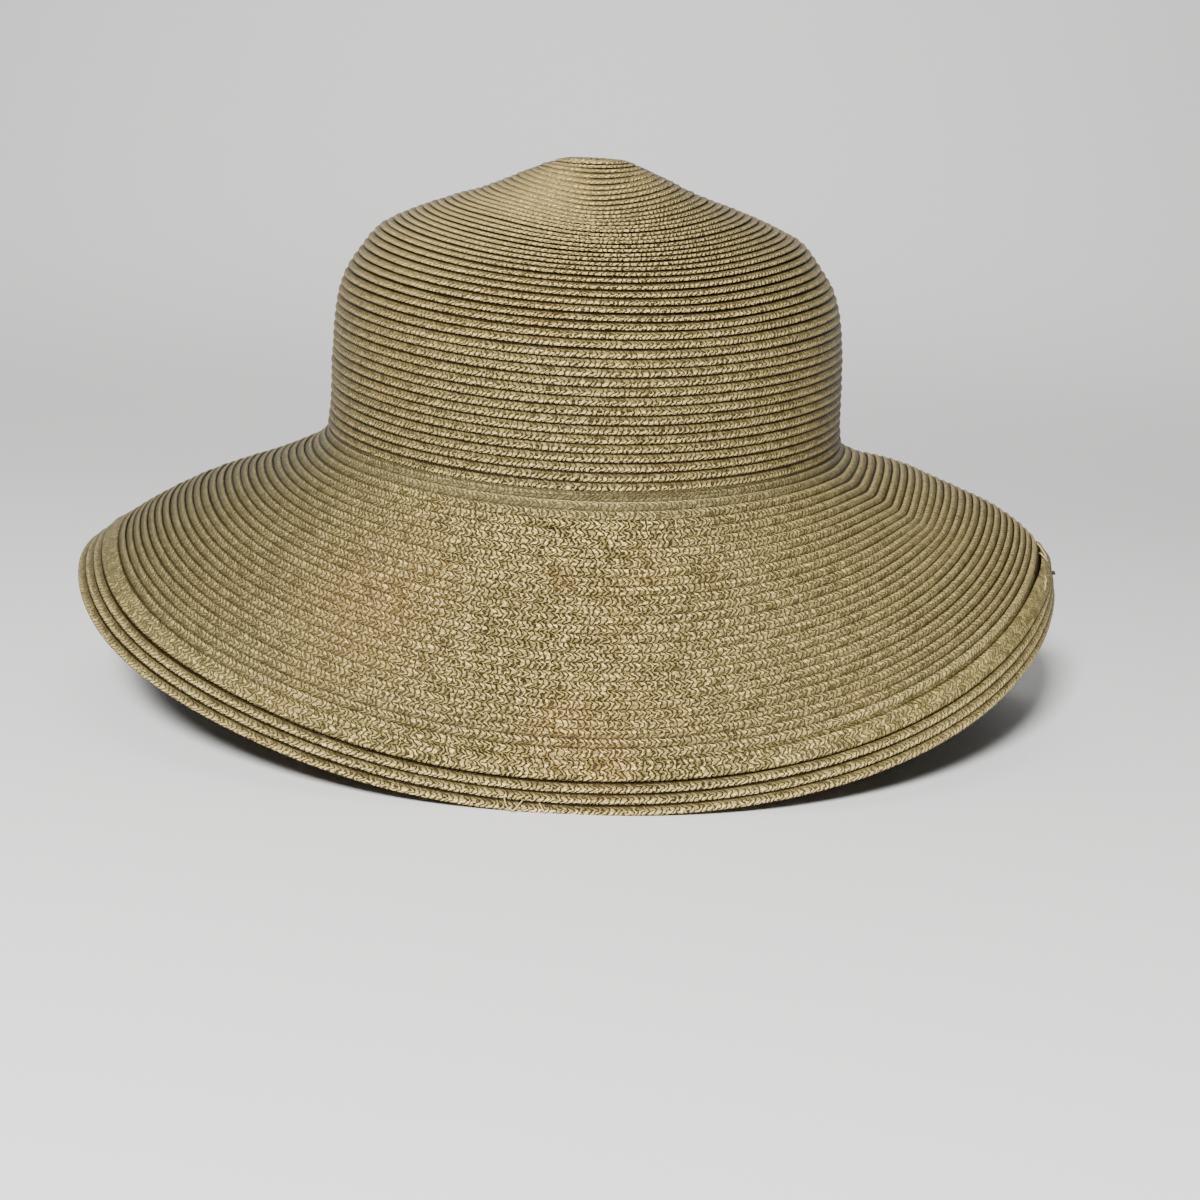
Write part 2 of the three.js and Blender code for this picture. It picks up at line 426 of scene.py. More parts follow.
def crown_stations():
    """The crown's spiral, from the tip to the foot, given from the foot upwards."""
    stations = []
    turned = 0
    travelled = 0
    while turned < CROWN_TURNS * 2 * math.pi:
        angle = SPIRAL_START - turned
        along = TIP_START + CROWN_PITCH * turned / (2 * math.pi)
        place = along + wobble(travelled, 1)
        settled = settling(along)
        point, slope = on_crown(angle, place, CROWN_DEPTH * settled + wobble(travelled, 2))
        step, radius = stride(point)
        tip = min(1, along / TIP_TIGHTENS)
        size = TIP_SIZE + (1 - TIP_SIZE) * tip
        seam_shading = tip * (1 + sum(near(area, angle, along) * area["by"] for area in (FAINTER_SEAM_SHADE, DEEPER_SEAM_SHADE)))
        tilt = slope - LAP_ANGLE * settled * tip
        calm, dusk = on_sides(angle, CROWN_CALM), on_sides(angle, **CROWN_DUSK)
        stations.append((point, tilt, size, seam_shading, calm, dusk, 0, 0))
        turned += step / radius
        travelled += step
    return stations[::-1]


crown = lay_braid("crown_braid", crown_stations(), CROWN_PITCH)
print("the crown has", CROWN_TURNS, "turns,", round(CROWN_PITCH * 1000, 2), "mm apart")

# %% [markdown]
# ## The brim
#
# The brim goes on with the same braid where the crown's ends, but it laps the other way: each new
# course is laid on top of the one before, so the front shows hardly any shadow lines. The first turn
# stands upright to close the corner at the foot, and the next one narrows and lies flat while the lap
# changes over. The painted seam shade is strongest at the sides, where the brim bends.

# %% Sew the brim
BRIM_START = CROWN_END - CROWN_LENGTH
BRIM_END = 0.0785
CHANGE_OVER = 0.005
FLAT_SIZE = 0.72
FLAT_DEPTH = 0.0004
WALL_SLOPE = math.radians(84)
BRIM_DEPTH = 0.0012
BRIM_LAP = 0.7
# The braid's last few centimetres narrow and slip under the first rim row.
END_TAPER = 0.035
END_SIZE = 0.35
FIRST_ROW_EDGE = 0.078
# How strongly shade and highlight are painted at the brim's seams: this much at the front and back, fully at
# the sides.
FRONT_SEAM_SHADING = 0.12
SEAM_SHADING_POWER = {"right": 1.5, "left": 2.4}
# Over the brim's last courses the seam shade is painted again, fading out where the first rim row lies on
# them.
LATE = {"start": 0.0675, "seam_shading": 0.6, "ends_early": 0.25}
BRIM_CALM = {"most": 0.7, "more_left": 0.7}
# The brim's sides get painted shade, more on the left.
BRIM_DUSK = {"most": 0.62, "more_left": 1.5}
# The first courses show the plait only faintly, and get painted shade in the corner at the foot,
# stronger painted seam shade and painted highlights on their edges.
FIRST_COURSES = {"along": 0.0095, "fade": 3.5, "seam_shading": 0.5, "calm": 0.35, "dusk": 0.75}


def changed(along):
    """Zero at the foot of the crown, one where the brim laps fully, with an easy start and end."""
    share = clamp((along - BRIM_START) / CHANGE_OVER)
    return share * share * (3 - 2 * share)


def at_sides(angle, front):
    """One at the sides of the hat and this much at the front and back, sooner on the left."""
    hand = "right" if math.cos(angle) > 0 else "left"
    return front + (1 - front) * abs(math.cos(angle)) ** SEAM_SHADING_POWER[hand]


def brim_look(angle, along):
    """How strong the painted seam shade, calm, painted shade and painted edge highlight are here, and how
    far the last turn is bared.
    """
    first = clamp(FIRST_COURSES["fade"] * (1 - along / FIRST_COURSES["along"]))
    covered = clamp((BRIM_END - along) / PITCH - LATE["ends_early"])
    late = LATE["seam_shading"] * clamp((along - LATE["start"]) / PITCH) * covered
    seam_shading = max(at_sides(angle, FRONT_SEAM_SHADING), late, FIRST_COURSES["seam_shading"] * first)
    calm = max(on_sides(angle, **BRIM_CALM), FIRST_COURSES["calm"] * first)
    dusk = max(on_sides(angle, **BRIM_DUSK), FIRST_COURSES["dusk"] * first)
    bared = max(0, FIRST_ROW_EDGE - along) if along > BRIM_END - PITCH else 0
    return seam_shading, calm, dusk, first * math.sin(angle) ** 2, bared


def brim_stations():
    """The brim's spiral, from the crown's foot to the rim, given from the rim inwards."""
    stations = []
    turned = 0
    travelled = 0
    along = BRIM_START
    while along < BRIM_END:
        angle = SPIRAL_START - turned
        along = BRIM_START + PITCH * turned / (2 * math.pi)
        share = changed(along)
        left = (BRIM_END - along) / PITCH * 2 * math.pi * HALF_DEPTH
        depth = FLAT_DEPTH + (BRIM_DEPTH - FLAT_DEPTH) * share + wobble(travelled, 4)
        point, slope = on_brim(angle, along + wobble(travelled, 3), depth)
        step, radius = stride(point)
        hidden = clamp(1 - (along - BRIM_START) / PITCH)
        ending = min(1, END_SIZE + (1 - END_SIZE) * left / END_TAPER)
        size = max(hidden, FLAT_SIZE + (1 - FLAT_SIZE) * share) * ending
        upright = (WALL_SLOPE - slope) * max(hidden, (1 - share) ** 2 / 2)
        tilt = slope + LAP_ANGLE * BRIM_LAP * share + upright
        stations.append((point, tilt, size, *brim_look(angle, along)))
        turned += step / radius
        travelled += step
    return stations[::-1]


brim = lay_braid("brim_braid", brim_stations(), PITCH, top_edge=-1)

# %% [markdown]
# ## The rim
#
# The last four rows are lapped downward again, the first on top of the brim, so they show strong dark
# lines, real shadow helped by painted seam shade on the last three rows. Each row is a ring with its
# two ends slipped over each other at the back. At the right the stitches have let go, and the first
# row stands away from the brim a little.

# %% Sew the rim
RIM_PITCH = 0.0032
# The last number of each row says whether seam shade is painted under the edge of the row that lies on it;
# the first row has none.
RIM_ROWS = [
    {"name": "rim_row_1", "along": 0.0811, "deep": 0.0006, "lap": 5, "size": 1.15, "seam_shaded": 0},
    {"name": "rim_row_2", "along": 0.0849, "deep": 0.0014, "lap": 18, "size": 1, "seam_shaded": 1},
    {"name": "rim_row_3", "along": 0.0881, "deep": 0.0014, "lap": 18, "size": 1, "seam_shaded": 1},
    {"name": "rim_row_4", "along": 0.0913, "deep": 0.0014, "lap": 18, "size": 1, "seam_shaded": 1},
]
OVERLAP = math.radians(7)
OPEN_SEAM = {"turn": 353, "round": 5, "lifts": 0.0004, "slips": 0.0005}
JOIN_DIP = 0.0009
RIM_CALM = {"most": 0.8, "more_left": 0.7}
# The rim's sides get painted shade, more on the left.
RIM_DUSK = {"most": 0.35, "more_left": 1.9}


def at_open_seam(angle):
    """One where the stitches have let go, fading to zero on both sides."""
    past = degrees_past(angle, OPEN_SEAM["turn"])
    return math.exp(-((past / OPEN_SEAM["round"]) ** 2))


def rim_stations(row, seed):
    """One ring of braid, a little longer than the way round."""
    stations = []
    turned = -OVERLAP / 2
    travelled = 0
    while turned < 2 * math.pi + OVERLAP / 2:
        angle = SPIRAL_START + turned
        under = JOIN_DIP * clamp((turned + OVERLAP / 2 - 2 * math.pi + OVERLAP) / OVERLAP)
        depth = row["deep"] + wobble(travelled, seed) + under
        along = row["along"] + wobble(travelled, seed + 10)
        # The first row, the one without painted seam shade, is the one that stands away at the open seam.
        if row["seam_shaded"] == 0:
            depth -= OPEN_SEAM["lifts"] * at_open_seam(angle)
            along += OPEN_SEAM["slips"] * at_open_seam(angle)
        point, slope = on_brim(angle, along, depth)
        tilt = slope - math.radians(row["lap"])
        calm, dusk = on_sides(angle, **RIM_CALM), on_sides(angle, **RIM_DUSK)
        stations.append((point, tilt, row["size"], row["seam_shaded"], calm, dusk, 0, 0))
        turned += LONGEST_STEP / math.hypot(point.x - MIDDLE_X, point.y)
        travelled += LONGEST_STEP
    return stations


rim_rows = [lay_braid(row["name"], rim_stations(row, 5 + i), RIM_PITCH) for i, row in enumerate(RIM_ROWS)]

# %% [markdown]
# ## The straw's finish
#
# Raffia is pale and dull with a slight silky shine, and the plait shows as rows of short slanting
# strands that lean one way on one half of the braid and the other way on the other. A picture could
# give this, but a formula keeps its sharpness at any size: the numbers kept on the braid make the
# strands, fine noise makes some straws darker, and larger noise gives the red patches and the flecks.
# The same numbers also paint the light: highlights on the strands' crests and edges, and shade in the
# seams, between the strands and at the sides.

# %% Tools for materials
def add_node(material, kind, **settings):
    """A new node with its settings and inputs."""
    node = material.node_tree.nodes.new(kind)
    for name, value in settings.items():
        if name.startswith("in_"):
            node.inputs[int(name[3:])].default_value = value
        else:
            setattr(node, name, value)
    return node


def calculate(material, operation, first, second=None):
    """A sum, product or other operation on one or two inputs, each a number or a socket."""
    node = add_node(material, "ShaderNodeMath", operation=operation)
    for index, value in enumerate((first, second)):
        if isinstance(value, (int, float)):
            node.inputs[index].default_value = value
        elif value is not None:
            material.node_tree.links.new(value, node.inputs[index])
    return node.outputs[0]


def mix_colours(material, share, first, second):
    """A mix of two colours, each four numbers or a socket."""
    node = add_node(material, "ShaderNodeMix", data_type="RGBA")
    for index, value in ((0, share), (6, first), (7, second)):
        if isinstance(value, (int, float, tuple)):
            node.inputs[index].default_value = value
        else:
            material.node_tree.links.new(value, node.inputs[index])
    return node.outputs[2]


def noise_at(material, scale, detail=2.0, vector=None):
    """A soft noise, on Object coordinates unless a vector is given."""
    node = add_node(material, "ShaderNodeTexNoise")
    node.inputs["Scale"].default_value = scale
    node.inputs["Detail"].default_value = detail
    if vector is None:
        vector = add_node(material, "ShaderNodeTexCoord").outputs["Object"]
    material.node_tree.links.new(vector, node.inputs["Vector"])
    return node.outputs[0]


def ramp(material, value, low, high):
    """Zero below low, one above high and straight between."""
    node = add_node(material, "ShaderNodeMapRange")
    node.inputs[1].default_value = low
    node.inputs[2].default_value = high
    material.node_tree.links.new(value, node.inputs[0])
    return node.outputs[0]


# %% The plaited straw
STRAND_PITCH = 0.0017
ZONE_WIDTH = BRAID_WIDTH / 4
STRAND_LEAN = -0.75
# Each noise has a scale per metre, and a push that says how far it moves the strands.
EDGE_NOISE = {"scale": 520.0, "push": 0.9}
SLOW_NOISE = {"scale": 160.0, "push": 1.8}
QUICK_NOISE = {"scale": 800.0, "push": 1.5}
STRAND_ROUNDNESS = 0.9
BULGE_ROUNDNESS = 0.35
BULGE_SHARE = 0.4
GRAIN_ACROSS = 3.6
GRAIN_ALONG = 1.2
SPECK_SCALE = 1100.0
PLAIT_RELIEF = 0.0006
CREVICE_WIDTH = 0.00085
COURSE_SHADE_WIDTH = 0.0026
# The brightest straw colour is used only for painted highlights, the deep shade and the dusky colour only
# for painted shade, and the sunny colour only for painted patches of light.
HIGHLIGHT_STRAW = (1.0, 0.77, 0.34, 1)
PALE_STRAW = (0.41, 0.315, 0.118, 1)
DARK_STRAW = (0.11, 0.085, 0.024, 1)
DEEP_SHADE = (0.01, 0.006, 0.001, 1)
SHADED_STRAW = (0.1, 0.092, 0.048, 1)
LIT_STRAW = (0.8, 0.6, 0.25, 1)
RED_STRAW = (0.32, 0.16, 0.05, 1)
BROWN_STAIN = (0.085, 0.048, 0.016, 1)


def spot(material, place, radius):
    """One inside a soft ball round a place on the hat, zero outside."""
    where = add_node(material, "ShaderNodeTexCoord").outputs["Object"]
    apart = add_node(material, "ShaderNodeVectorMath", operation="DISTANCE")
    material.node_tree.links.new(where, apart.inputs[0])
    apart.inputs[1].default_value = place
    return ramp(material, apart.outputs["Value"], radius, radius * 0.3)


def pair_up(material, first, second):
    """Two sockets as the first two parts of a vector."""
    node = add_node(material, "ShaderNodeCombineXYZ")
    material.node_tree.links.new(first, node.inputs[0])
    material.node_tree.links.new(second, node.inputs[1])
    return node.outputs[0]


def product(material, *factors):
    """All factors multiplied."""
    result = factors[0]
    for factor in factors[1:]:
        result = calculate(material, "MULTIPLY", result, factor)
    return result


def total(material, *parts):
    """All parts added."""
    result = parts[0]
    for part in parts[1:]:
        result = calculate(material, "ADD", result, part)
    return result


def strand_pattern(material, along, across):
    """The strands' roundness, a chance number for each strand, and fine fibres along it."""
    sway = calculate(material, "SUBTRACT", noise_at(material, EDGE_NOISE["scale"], 1.0), 0.5)
    sway = product(material, sway, EDGE_NOISE["push"])
    zones = total(material, calculate(material, "DIVIDE", across, ZONE_WIDTH), sway)
    folded = calculate(material, "PINGPONG", zones, 1.0)
    curved = calculate(material, "SINE", product(material, folded, math.pi / 2))
    lengthwise = pair_up(material, product(material, along, SLOW_NOISE["scale"]), zones)
    slow = noise_at(material, 1.0, 2.0, lengthwise)
    quick = noise_at(material, QUICK_NOISE["scale"], 1.0)
    count = total(
        material,
        product(material, along, 1 / STRAND_PITCH),
        product(material, curved, STRAND_LEAN),
        product(material, slow, SLOW_NOISE["push"]),
        product(material, quick, QUICK_NOISE["push"]),
    )
    wave = calculate(material, "SINE", product(material, count, math.pi))
    length = calculate(material, "POWER", calculate(material, "ABSOLUTE", wave), STRAND_ROUNDNESS)
    bulge = calculate(material, "SINE", product(material, zones, math.pi))
    bulge = calculate(material, "POWER", calculate(material, "ABSOLUTE", bulge), BULGE_ROUNDNESS)
    bulge = total(material, product(material, bulge, BULGE_SHARE), 1 - BULGE_SHARE)
    own = pair_up(material, calculate(material, "FLOOR", count), calculate(material, "FLOOR", zones))
    chance = add_node(material, "ShaderNodeTexWhiteNoise", noise_dimensions="2D")
    material.node_tree.links.new(own, chance.inputs["Vector"])
    grain = pair_up(material, product(material, count, GRAIN_ACROSS), product(material, zones, GRAIN_ALONG))
    return product(material, length, bulge), chance.outputs["Value"], noise_at(material, 1.0, 2.0, grain)


def read_number(material, label):
    """One of the seven numbers that the braid's points carry."""
    return add_node(material, "ShaderNodeAttribute", attribute_name=label).outputs["Fac"]


# %% The painted seam shade, the flecks and how much the plait shows
# Each band runs from a start to an end, as distances from the edge of the course on top.
# The crevice and the course shade are painted shade under the edge of the course on top, and the frayed edge
# makes the painted shade's border uneven.
CREVICE = {"band": (CREVICE_WIDTH, CREVICE_WIDTH * 0.25), "strength": 0.97}
COURSE_SHADE = {"band": (COURSE_SHADE_WIDTH, 0.0002), "strength": 0.6}
FRAYED_EDGE = -0.0004
CALMED = 0.85
UNDER_EDGE = {"band": (0.0015, 0.0009), "strength": 0.55}
# The gleam is a painted highlight on the lower half of each lapped course.
GLEAM = {"band": (0.0012, 0.0021), "strength": 0.5}
FLECKS = {"scale": 330.0, "range": (0.64, 0.72), "strength": 0.7}
FLECK_AREAS = {"scale": 45.0, "range": (0.42, 0.6)}


def seam_shade(material, fibres):
    """How much painted shade lies close under the edge of the course that lies on it."""
    frayed = product(material, fibres, FRAYED_EDGE)
    apart = total(material, read_number(material, "below_seam"), frayed)
    near_edge = product(material, ramp(material, apart, *CREVICE["band"]), CREVICE["strength"])
    around = product(material, ramp(material, apart, *COURSE_SHADE["band"]), COURSE_SHADE["strength"])
    both = calculate(material, "MAXIMUM", near_edge, around)
    return product(material, both, read_number(material, "seam_shading"))


def plait_strength(material):
    """How strongly the strands show: less where it is calm, and close under the edge of the course on top,
    as far as seam shade is painted there.
    """
    calmed = product(material, read_number(material, "calm"), CALMED)
    rest = calculate(material, "SUBTRACT", 1.0, calmed)
    under = ramp(material, read_number(material, "below_seam"), *UNDER_EDGE["band"])
    under = product(material, under, read_number(material, "seam_shading"), UNDER_EDGE["strength"])
    return product(material, rest, calculate(material, "SUBTRACT", 1.0, under))


def edge_gleam(material):
    """A painted highlight on the lower half of each lapped course, which turns up to the light."""
    lower = ramp(material, read_number(material, "below_seam"), *GLEAM["band"])
    return product(material, lower, read_number(material, "seam_shading"), GLEAM["strength"])


def straw_flecks(material):
    """Small brown flecks that lie together in some places and are rare in others."""
    small = ramp(material, noise_at(material, FLECKS["scale"], 2.0), *FLECKS["range"])
    areas = ramp(material, noise_at(material, FLECK_AREAS["scale"], 1.0), *FLECK_AREAS["range"])
    return product(material, small, areas, FLECKS["strength"])


# %% The straw's colours
DARK_STRAWS = {"chance": 0.7, "fibres": 1.2, "specks": 0.5, "range": (0.75, 1.65)}
# Lively and crests set the painted highlights on the strands' crests, and valleys the painted shade between
# the strands.
LIVELY = {"range": (0.95, 0.4), "share": 0.75}
CRESTS = {"fibres": 1.5, "specks": 0.5, "range": (0.82, 1.08)}
VALLEYS = {"range": (0.72, 0.24), "strength": 0.94}
RED_PATCHES = {"scale": 28.0, "range": (0.5, 0.75), "strength": 0.16}
# How strong the painted shade from the dusk number is.
DUSK_STRENGTH = 0.75
# The bright edge is a painted highlight on the upper edges of the brim's first courses, at the front and
# back.
BRIGHT_EDGE = {"range": (0.0023, 0.00265), "strength": 0.7}
RELIEF = {"fibres": 0.3, "specks": 0.35}
ROUGHNESS = 0.45
SPECULAR = 0.12


def colour_of_plait(material, pillow, chance, fibres, specks, strength):
    """Pale and dark straws, with painted highlights on the strands' crests and painted shade in the valleys
    between them.
    """
    shade = total(
        material,
        product(material, chance, DARK_STRAWS["chance"]),
        product(material, fibres, DARK_STRAWS["fibres"]),
        product(material, specks, DARK_STRAWS["specks"]),
    )
    colour = mix_colours(material, ramp(material, shade, *DARK_STRAWS["range"]), PALE_STRAW, DARK_STRAW)
    lively = product(material, ramp(material, chance, *LIVELY["range"]), LIVELY["share"])
    lively = total(material, lively, 1 - LIVELY["share"])
    highlight_grain = product(material, fibres, CRESTS["fibres"])
    highlight_grain = total(material, highlight_grain, product(material, specks, CRESTS["specks"]))
    crest = ramp(material, product(material, pillow, highlight_grain), *CRESTS["range"])
    colour = mix_colours(material, product(material, crest, strength, lively), colour, HIGHLIGHT_STRAW)
    gleam = product(material, edge_gleam(material), pillow)
    colour = mix_colours(material, gleam, colour, HIGHLIGHT_STRAW)
    valley = product(material, ramp(material, pillow, *VALLEYS["range"]), strength, VALLEYS["strength"])
    return mix_colours(material, valley, colour, DEEP_SHADE)


def colour_of_wear_and_light(material, colour, across):
    """Red patches and brown flecks, then painted shade at the sides and on the first brim courses, and
    painted highlights on the edges at the foot, over the plait.
    """
    patches = ramp(material, noise_at(material, RED_PATCHES["scale"], 3.0), *RED_PATCHES["range"])
    patches = product(material, patches, RED_PATCHES["strength"])
    colour = mix_colours(material, patches, colour, RED_STRAW)
    colour = mix_colours(material, straw_flecks(material), colour, BROWN_STAIN)
    dusk = product(material, read_number(material, "dusk"), DUSK_STRENGTH)
    colour = mix_colours(material, dusk, colour, SHADED_STRAW)
    edge = ramp(material, across, *BRIGHT_EDGE["range"])
    edge = product(material, edge, read_number(material, "ridge"), BRIGHT_EDGE["strength"])
    return mix_colours(material, edge, colour, HIGHLIGHT_STRAW)


def plaited_straw(name):
    """The braid's material: slanting strands, darker straws, red patches and stains, painted light and
    highlights, and painted shade in the seams.
    """
    material = bpy.data.materials.new(name)
    material.use_nodes = True
    shader = material.node_tree.nodes["Principled BSDF"]
    link = material.node_tree.links.new
    along, across = read_number(material, "along"), read_number(material, "across")
    pillow, chance, fibres = strand_pattern(material, along, across)
    strength = plait_strength(material)
    specks = noise_at(material, SPECK_SCALE, 2.0)
    colour = colour_of_plait(material, pillow, chance, fibres, specks, strength)
    colour = colour_of_wear_and_light(material, colour, across)
    for mark in STAINS_AND_LIGHT:
        there = spot(material, mark["place"], mark["radius"])
        colour = mix_colours(material, product(material, there, mark["strength"]), colour, mark["colour"])
    # Painted shade under the edge of each course that lies on another.
    colour = mix_colours(material, seam_shade(material, fibres), colour, DEEP_SHADE)
    link(colour, shader.inputs["Base Color"])
    shader.inputs["Roughness"].default_value = ROUGHNESS
    shader.inputs["Specular IOR Level"].default_value = SPECULAR
    fine = total(
        material, product(material, fibres, RELIEF["fibres"]), product(material, specks, RELIEF["specks"])
    )
    height = total(material, fine, pillow)
    bump = add_node(material, "ShaderNodeBump")
    bump.inputs["Strength"].default_value = 1.0
    bump.inputs["Distance"].default_value = PLAIT_RELIEF
    link(product(material, height, strength), bump.inputs["Height"])
    link(bump.outputs["Normal"], shader.inputs["Normal"])
    return material


# %% Places of the stains and of the painted light and shade, and the straw laid on all the braid
def crown_place(turn, along):
    """Where a mark on the crown is, as three numbers."""
    return tuple(on_crown(math.radians(turn), along)[0])


def brim_place(turn, along):
    """Where a mark on the brim is, as three numbers."""
    return tuple(on_brim(math.radians(turn), along)[0])


# The seam gap spots are painted shade in the open seam at the right, and the sunny spots are painted light
# on the crown; the brown and red spots are stains.
SEAM_GAP_SHADE = {"radius": 0.0017, "strength": 1, "colour": DEEP_SHADE}
LIT_PATCH = {"colour": LIT_STRAW}
STAINS_AND_LIGHT = [
    {"place": crown_place(245, 0.04), "radius": 0.045, "strength": 0.2, **LIT_PATCH},
    {"place": crown_place(262, 0.02), "radius": 0.03, "strength": 0.2, **LIT_PATCH},
    {"place": crown_place(222, 0.062), "radius": 0.045, "strength": 0.32, **LIT_PATCH},
    {"place": brim_place(350.5, 0.0778), **SEAM_GAP_SHADE},
    {"place": brim_place(352, 0.0778), **SEAM_GAP_SHADE},
    {"place": brim_place(353.5, 0.0776), **SEAM_GAP_SHADE},
    {"place": brim_place(355, 0.0774), **SEAM_GAP_SHADE},
    {"place": brim_place(267, 0.026), "radius": 0.006, "strength": 0.5, "colour": BROWN_STAIN},
    {"place": brim_place(294, 0.026), "radius": 0.005, "strength": 0.5, "colour": BROWN_STAIN},
    {"place": brim_place(236, 0.045), "radius": 0.034, "strength": 0.14, "colour": RED_STRAW},
]
straw = plaited_straw("plaited_straw")
for piece in (crown, brim, *rim_rows):
    piece.data.materials.clear()
    piece.data.materials.append(straw)

# %% [markdown]
# ## Loose straws and a knot
#
# A worn hat has a few straws that have come out of the plait, and here the sewing thread shows at the
# open seam and ends in a dark knot. Each straw is a short curve with a round bevel, and the knot is a
# small dented ball. They are few, so they are laid one by one from a table.

# %% Lay the loose straws
LOOSE_STRAWS = [
    {"turns": (356.6, 355.8, 355.2), "alongs": (0.0755, 0.0772, 0.0797), "stands": (0.0003, 0.0011, 0.0008)},
    {"turns": (354.9, 354.3, 354.6), "alongs": (0.0768, 0.078, 0.0802), "stands": (0.0002, 0.0012, 0.0009)},
    {"turns": (351.4, 350.9, 350.2), "alongs": (0.0806, 0.0812, 0.082), "stands": (0.0005, 0.0011, 0.0004)},
    {"turns": (350.4, 349.9, 349.3), "alongs": (0.0809, 0.0815, 0.0824), "stands": (0.0005, 0.0011, 0.0004)},
    {"turns": (261.5, 261.8, 262.9), "alongs": (0.0905, 0.0935, 0.0941), "stands": (0.0004, 0.0009, 0.0012)},
    {"turns": (263.9, 263.2, 262.8), "alongs": (0.0908, 0.0936, 0.0942), "stands": (0.0004, 0.001, 0.0016)},
    {"turns": (266.2, 266.9, 267.1), "alongs": (0.0911, 0.0935, 0.094), "stands": (0.0003, 0.0009, 0.0013)},
]
STRAW_ROUND = 0.00019
KNOT_PLACE = (355.2, 0.0852)
KNOT_SIZE = 0.0007
KNOT_UNEVEN = {"scale": 1500, "by": 0.5}
LOOSE_STRAW_COLOUR = (0.5, 0.4, 0.21, 1)
THREAD_COLOUR = (0.04, 0.03, 0.02, 1)


def plain_finish(name, colour, roughness):
    """One even colour, for parts too thin to show a pattern."""
    material = bpy.data.materials.new(name)
    material.use_nodes = True
    shader = material.node_tree.nodes["Principled BSDF"]
    shader.inputs["Base Color"].default_value = colour
    shader.inputs["Roughness"].default_value = roughness
    return material


def lay_straw(row):
    """One loose straw through three places that stand a little off the hat."""
    pick_none()
    bpy.ops.curve.primitive_nurbs_path_add()
    straw_piece = bpy.context.object
    path = straw_piece.data
    path.splines.clear()
    spline = path.splines.new("NURBS")
    spline.points.add(2)
    spline.use_endpoint_u = True
    spline.order_u = 3
    for index, (turn, along, stands) in enumerate(zip(row["turns"], row["alongs"], row["stands"])):
        point = on_brim(math.radians(turn), along, -stands)[0]
        point.z = max(point.z, STRAW_ROUND)
        spline.points[index].co = (*point, 1)
    path.bevel_depth = STRAW_ROUND
    path.bevel_resolution = 1
    path.use_fill_caps = True
    bpy.ops.object.convert(target="MESH")
    return bpy.context.object


def tie_knot():
    """A small dark knot of thread, uneven."""
    pick_none()
    place = on_brim(math.radians(KNOT_PLACE[0]), KNOT_PLACE[1], -KNOT_SIZE)[0]
    bpy.ops.mesh.primitive_ico_sphere_add(subdivisions=3, radius=KNOT_SIZE, location=place)
    knot = bpy.context.object
    bpy.ops.object.transform_apply(location=True, rotation=True, scale=True)
    for vertex in knot.data.vertices:
        push = 1 + KNOT_UNEVEN["by"] * noise.noise((vertex.co - place) * KNOT_UNEVEN["scale"])
        vertex.co = place + (vertex.co - place) * push
    knot.name = "thread_knot"
    return knot


def join_pieces(pieces, name):
    """Several meshes as one."""
    pick_none()
    for piece in pieces:
        piece.select_set(True)
    bpy.context.view_layer.objects.active = pieces[0]
    bpy.ops.object.join()
    pieces[0].name = name
    return pieces[0]


loose = join_pieces([lay_straw(row) for row in LOOSE_STRAWS], "loose_straws")
loose.data.materials.append(plain_finish("loose_straw", LOOSE_STRAW_COLOUR, 0.5))
knot = tie_knot()
knot.data.materials.append(plain_finish("dark_thread", THREAD_COLOUR, 0.7))
print(len(LOOSE_STRAWS), "loose straws and a knot of", len(knot.data.polygons), "faces")

# %% [markdown]
# ## The floor and the light
#
# The hat stands on a pale floor that curves up behind it, so no edge shows. One lamp above the left
# of the camera gives nearly all the light. The others are weak: one softens the shadows from above and
# one lights the wall behind.

# %% Make the floor and the lamps
FLOOR_SIZE = 6.0
FLOOR_BEND = 1.8
BEND_STEPS = 24
FLOOR_COLOUR = (0.9, 0.9, 0.89, 1)
WORLD_COLOUR = (0.84, 0.84, 0.83, 1)
WORLD_STRENGTH = 0.12


def make_floor():
    """A floor whose far edge is drawn up into a wall, with a rounded bend."""
    pick_none()
    bpy.ops.mesh.primitive_plane_add(size=FLOOR_SIZE, location=(0, 0, 0))
    floor = bpy.context.object
    floor.name = "floor"
    bpy.ops.object.mode_set(mode="EDIT")
    bpy.ops.mesh.select_all(action="DESELECT")
    bpy.ops.object.mode_set(mode="OBJECT")
    for edge in floor.data.edges:
        edge.select = all(floor.data.vertices[v].co.y > 0 for v in edge.vertices)
    bpy.ops.object.mode_set(mode="EDIT")
    bpy.ops.mesh.select_mode(type="EDGE")
    bpy.ops.mesh.extrude_region_move(TRANSFORM_OT_translate={"value": (0, 0, FLOOR_SIZE)})
    bpy.ops.object.mode_set(mode="OBJECT")
    bend = floor.modifiers.new("bend", "BEVEL")
    bend.width = FLOOR_BEND
    bend.segments = BEND_STEPS
    bend.limit_method = "ANGLE"
    bpy.ops.object.modifier_apply(modifier="bend")
    bpy.ops.object.shade_smooth()
    floor.data.materials.append(plain_finish("floor_paint", FLOOR_COLOUR, 0.9))
    return floor


make_floor()

LAMPS = [
    {"name": "main_lamp", "at": (-0.25, -1.35, 0.95), "aims": (0, 0, 0.09), "size": 0.3, "watts": 60},
    {"name": "top_lamp", "at": (-0.1, 0, 1.8), "aims": (0, 0, 0.09), "size": 1.0, "watts": 5},
    {"name": "wall_lamp", "at": (0, 1.2, 1.5), "aims": (0, 3, 0.5), "size": 1.5, "watts": 25},
]


def hang_lamp(lamp):
    """A soft square lamp that points at the hat."""
    pick_none()
    bpy.ops.object.light_add(type="AREA", location=lamp["at"])
    light = bpy.context.object
    light.name = lamp["name"]
    light.data.size = lamp["size"]
    light.data.energy = lamp["watts"]
    towards = Vector(lamp["aims"]) - Vector(lamp["at"])
    light.rotation_euler = towards.to_track_quat("-Z", "Y").to_euler()


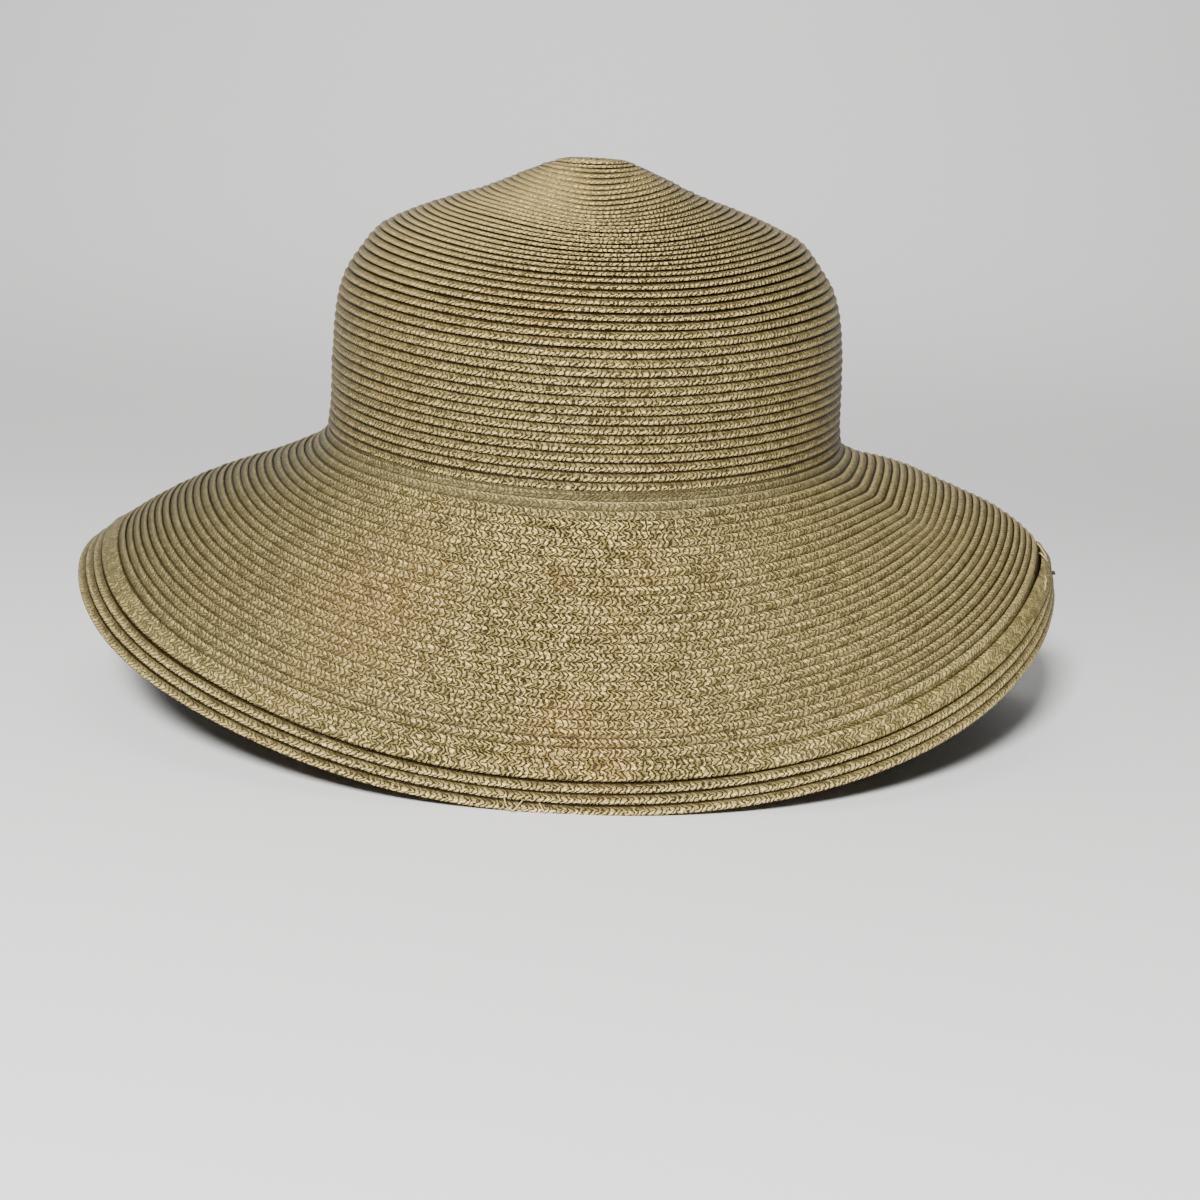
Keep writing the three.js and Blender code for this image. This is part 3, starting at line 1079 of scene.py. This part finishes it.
for lamp in LAMPS:
    hang_lamp(lamp)
world = bpy.data.worlds.new("studio")
world.use_nodes = True
world.node_tree.nodes["Background"].inputs["Color"].default_value = WORLD_COLOUR
world.node_tree.nodes["Background"].inputs["Strength"].default_value = WORLD_STRENGTH
bpy.context.scene.world = world
print("lamps:", [lamp["name"] for lamp in LAMPS])

# %% [markdown]
# ## The camera
#
# The camera looks slightly down on the hat from three quarters of a metre away, and is tipped a few
# degrees, as a hand-held one often is. The middle of the crown's foot is placed a little left of the
# picture's centre and well above it.

# %% Place the camera
CAMERA_DISTANCE = 0.75
CAMERA_RISE = math.radians(9.16)
CAMERA_ROLL = math.radians(2.72)
PICTURE_SIZE = 1200
SENSOR_WIDTH = 36
FOOT_PIXEL = (584.8, 435.25)
FOCAL_PIXELS = 2238.5


def place_camera():
    """Turns the camera until the middle of the foot is at its pixel."""
    target = Vector((MIDDLE_X, 0, FOOT_HEIGHT))
    back = Vector((0, -math.cos(CAMERA_RISE), math.sin(CAMERA_RISE)))
    right = Vector((1, 0, 0))
    level = Matrix((right, back.cross(right), back))
    rolled = Matrix.Rotation(-CAMERA_ROLL, 3, "Z") @ level
    half = PICTURE_SIZE / 2
    seen = Vector(((FOOT_PIXEL[0] - half) / FOCAL_PIXELS, (half - FOOT_PIXEL[1]) / FOCAL_PIXELS, -1))
    swing = Vector((0, 0, -1)).rotation_difference(seen.normalized()).to_matrix()
    axes = (swing @ rolled).transposed()
    pick_none()
    bpy.ops.object.camera_add(location=target + back * CAMERA_DISTANCE)
    camera = bpy.context.object
    camera.rotation_euler = axes.to_euler()
    camera.data.sensor_width = SENSOR_WIDTH
    camera.data.lens = SENSOR_WIDTH * FOCAL_PIXELS / PICTURE_SIZE
    camera.data.clip_start = 0.01
    bpy.context.scene.camera = camera
    return camera


place_camera()
bpy.data.objects.remove(profile)

# %% Finish
rim_nodes = [f"rim_braid_{count}" for count in range(1, len(RIM_ROWS) + 1)]
for piece, node in zip((crown, brim, *rim_rows), ("crown", "brim", *rim_nodes)):
    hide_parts(node)
for piece in (crown, brim, *rim_rows, loose, knot):
    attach(piece, "root")
